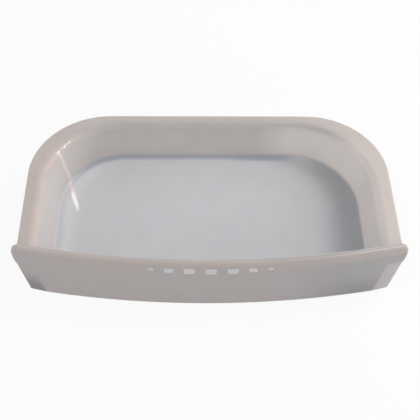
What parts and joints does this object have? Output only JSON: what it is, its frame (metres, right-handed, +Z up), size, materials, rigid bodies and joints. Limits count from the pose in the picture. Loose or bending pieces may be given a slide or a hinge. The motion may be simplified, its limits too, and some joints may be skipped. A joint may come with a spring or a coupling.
{
  "type": "cat litter pan",
  "caption": "Wide D-shaped pull-out litter pan with a broad rim, and a bowed, vented front panel screwed on from below.",
  "frame": {"origin": "on the ground, at the centre of the whole part's footprint", "axes": "+X to the right, +Y to the back of the pan, +Z up; the front panel faces -Y"},
  "size_m": [0.4, 0.215, 0.056],
  "materials": {
    "tray_plastic": "milky greige polypropylene, moulded with a soft gloss",
    "panel_plastic": "opaque greige plastic with a fine satin surface",
    "screw_steel": "plain stainless steel, slightly worn in the recess",
    "foot_rubber": "matte soft rubber"
  },
  "bodies": {
    "root": {"tray": "tray_plastic", "front_panel": "panel_plastic", "left_front_screw": "screw_steel", "left_rear_screw": "screw_steel", "right_front_screw": "screw_steel", "right_rear_screw": "screw_steel", "front_left_foot": "foot_rubber", "front_right_foot": "foot_rubber", "rear_left_foot": "foot_rubber", "rear_right_foot": "foot_rubber"}
  },
  "joints": []
}
